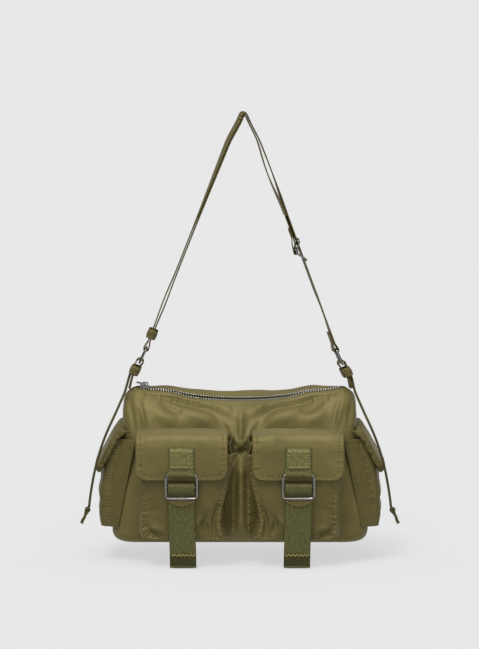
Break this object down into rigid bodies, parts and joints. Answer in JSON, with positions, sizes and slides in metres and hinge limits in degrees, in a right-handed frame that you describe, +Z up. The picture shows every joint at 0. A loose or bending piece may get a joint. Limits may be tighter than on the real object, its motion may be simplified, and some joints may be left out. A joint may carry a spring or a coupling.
{
  "type": "crossbody purse",
  "caption": "Soft nylon crossbody purse with a zipped top, flap pockets on the front and ends, metal buckles with webbing tails, and an adjustable webbing strap it hangs by.",
  "frame": {"origin": "underside of the strap's highest point, where the purse hangs", "axes": "+Z up, +X to the right seen from the front, -Y out of the front pockets"},
  "size_m": [0.3184, 0.1323, 0.4492],
  "materials": {
    "nylon": "olive woven nylon, soft satin sheen",
    "webbing": "ribbed polyester webbing, green olive",
    "lining": "plain woven lining, matt",
    "zip_tape": "herringbone zip tape",
    "cord": "braided cord, matt",
    "nickel": "polished dark nickel"
  },
  "bodies": {
    "strap": {"shoulder_strap": "webbing", "left_anchor": "webbing", "right_anchor": "webbing", "left_lower_keeper": "nylon", "right_lower_keeper": "nylon"},
    "adjuster": {"strap_adjuster": "nickel", "strap_sewn_end": "webbing"},
    "left_upper_keeper": {"left_upper_keeper": "nylon"},
    "left_ring": {"left_ring": "nickel"},
    "right_ring": {"right_ring": "nickel"},
    "bag": {"front_panel": "nylon", "back_panel": "nylon", "left_end_panel": "nylon", "right_end_panel": "nylon", "base_panel": "nylon", "lining": "lining", "zip_tape_front": "zip_tape", "zip_tape_back": "zip_tape", "zip_teeth_front": "nickel", "zip_teeth_back": "nickel", "left_pocket_face": "nylon", "left_pocket_gusset": "nylon", "left_snap_socket": "nickel", "left_side_face": "nylon", "left_side_gusset": "nylon", "left_side_snap_socket": "nickel", "left_cord": "cord", "left_cord_knot": "cord", "right_pocket_face": "nylon", "right_pocket_gusset": "nylon", "right_snap_socket": "nickel", "right_side_face": "nylon", "right_side_gusset": "nylon", "right_side_snap_socket": "nickel", "right_cord": "cord", "right_cord_knot": "cord"},
    "zip_slider": {"zip_slider": "nickel"},
    "zip_puller": {"zip_puller": "nickel"},
    "left_front_flap": {"left_front_flap": "nylon", "left_flap_webbing": "webbing", "left_snap_stud": "nickel"},
    "left_buckle": {"left_buckle": "nickel", "left_tail_wrap": "webbing", "left_tail_tab": "nylon"},
    "left_tail": {"left_webbing_tail": "webbing"},
    "left_side_flap": {"left_side_flap": "nylon", "left_side_snap_stud": "nickel"},
    "right_front_flap": {"right_front_flap": "nylon", "right_flap_webbing": "webbing", "right_snap_stud": "nickel"},
    "right_buckle": {"right_buckle": "nickel", "right_tail_wrap": "webbing", "right_tail_tab": "nylon"},
    "right_tail": {"right_webbing_tail": "webbing"},
    "right_side_flap": {"right_side_flap": "nylon", "right_side_snap_stud": "nickel"}
  },
  "joints": [
    {"name": "bag_swing", "type": "hinge", "parent": "strap", "child": "bag", "pos_m": [-0.004, 0, -0.2798], "axis": [1, 0, 0], "range_deg": [-38, 38], "deforming": ["left_anchor", "right_anchor", "left_cord", "right_cord"]},
    {"name": "adjuster_slide", "type": "slide", "parent": "strap", "child": "adjuster", "axis": [0.3426, 0, -0.9395], "range_m": [0, 0.03]},
    {"name": "left_keeper_slide", "type": "slide", "parent": "strap", "child": "left_upper_keeper", "axis": [0.3661, 0, 0.9306], "range_m": [0, 0.04]},
    {"name": "left_ring_tilt", "type": "hinge", "parent": "strap", "child": "left_ring", "pos_m": [-0.09894, 0, -0.24075], "axis": [0, 1, 0], "range_deg": [0, 6]},
    {"name": "right_ring_tilt", "type": "hinge", "parent": "strap", "child": "right_ring", "pos_m": [0.09294, 0, -0.24316], "axis": [0.2903, -0.9511, 0.1059], "range_deg": [0, 6]},
    {"name": "zip_slide", "type": "hinge", "parent": "bag", "child": "zip_slider", "pos_m": [-0.004, 0, 0.119], "axis": [0, -1, 0], "range_deg": [0, 27]},
    {"name": "zip_puller_flip", "type": "hinge", "parent": "zip_slider", "child": "zip_puller", "pos_m": [-0.0991, 0, -0.27396], "axis": [0, 1, 0], "range_deg": [0, 9]},
    {"name": "left_front_flap_lift", "type": "hinge", "parent": "bag", "child": "left_front_flap", "pos_m": [-0.062, -0.0332, -0.3135], "axis": [-1, 0, 0], "range_deg": [0, 92]},
    {"name": "left_buckle_swing", "type": "hinge", "parent": "left_front_flap", "child": "left_buckle", "pos_m": [-0.062, -0.0842, -0.352], "axis": [-1, 0, 0], "range_deg": [0, 100]},
    {"name": "left_tail_swing", "type": "hinge", "parent": "left_buckle", "child": "left_tail", "pos_m": [-0.062, -0.0815, -0.3842], "axis": [-1, 0, 0], "range_deg": [0, 80]},
    {"name": "left_side_flap_lift", "type": "hinge", "parent": "bag", "child": "left_side_flap", "pos_m": [-0.1256, 0, -0.3135], "axis": [0, 1, 0], "range_deg": [0, 66], "deforming": ["left_cord"]},
    {"name": "right_front_flap_lift", "type": "hinge", "parent": "bag", "child": "right_front_flap", "pos_m": [0.054, -0.0332, -0.3135], "axis": [-1, 0, 0], "range_deg": [0, 92]},
    {"name": "right_buckle_swing", "type": "hinge", "parent": "right_front_flap", "child": "right_buckle", "pos_m": [0.054, -0.0842, -0.352], "axis": [-1, 0, 0], "range_deg": [0, 100]},
    {"name": "right_tail_swing", "type": "hinge", "parent": "right_buckle", "child": "right_tail", "pos_m": [0.054, -0.0815, -0.3842], "axis": [-1, 0, 0], "range_deg": [0, 80]},
    {"name": "right_side_flap_lift", "type": "hinge", "parent": "bag", "child": "right_side_flap", "pos_m": [0.1176, 0, -0.3135], "axis": [0, -1, 0], "range_deg": [0, 66], "deforming": ["right_cord"]}
  ]
}
